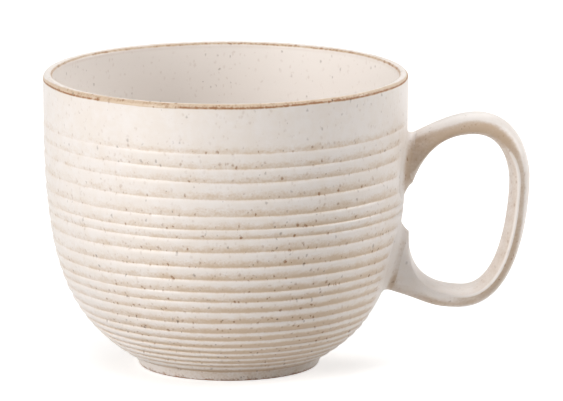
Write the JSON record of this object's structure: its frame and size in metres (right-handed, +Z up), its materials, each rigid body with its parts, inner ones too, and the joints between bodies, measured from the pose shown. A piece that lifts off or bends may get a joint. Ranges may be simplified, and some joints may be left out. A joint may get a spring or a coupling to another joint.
{
  "type": "cappuccino cup",
  "caption": "Wide stoneware cup with a ridged round-bellied wall, a turned foot ring and an ear-shaped strap handle luted on with clay slip, for milky coffee.",
  "frame": {"origin": "middle of the cup's footprint, handle included, on the surface that the foot ring stands on", "axes": "+Z up along the bowl's axis, +X towards the handle, +Y to the left of someone facing the handle's end of the cup along -X"},
  "size_m": [0.1334, 0.1, 0.0812],
  "materials": {
    "bowl_glaze": "satin cream glaze that breaks tan at edges, with fine brown iron specks",
    "handle_glaze": "satin cream glaze, thin and tan along the strap's edges",
    "slip_glaze": "satin cream glaze over smoothed slip"
  },
  "bodies": {
    "root": {"bowl": "bowl_glaze", "handle": "handle_glaze", "upper_slip_seam": "slip_glaze", "lower_slip_seam": "slip_glaze"}
  },
  "joints": []
}
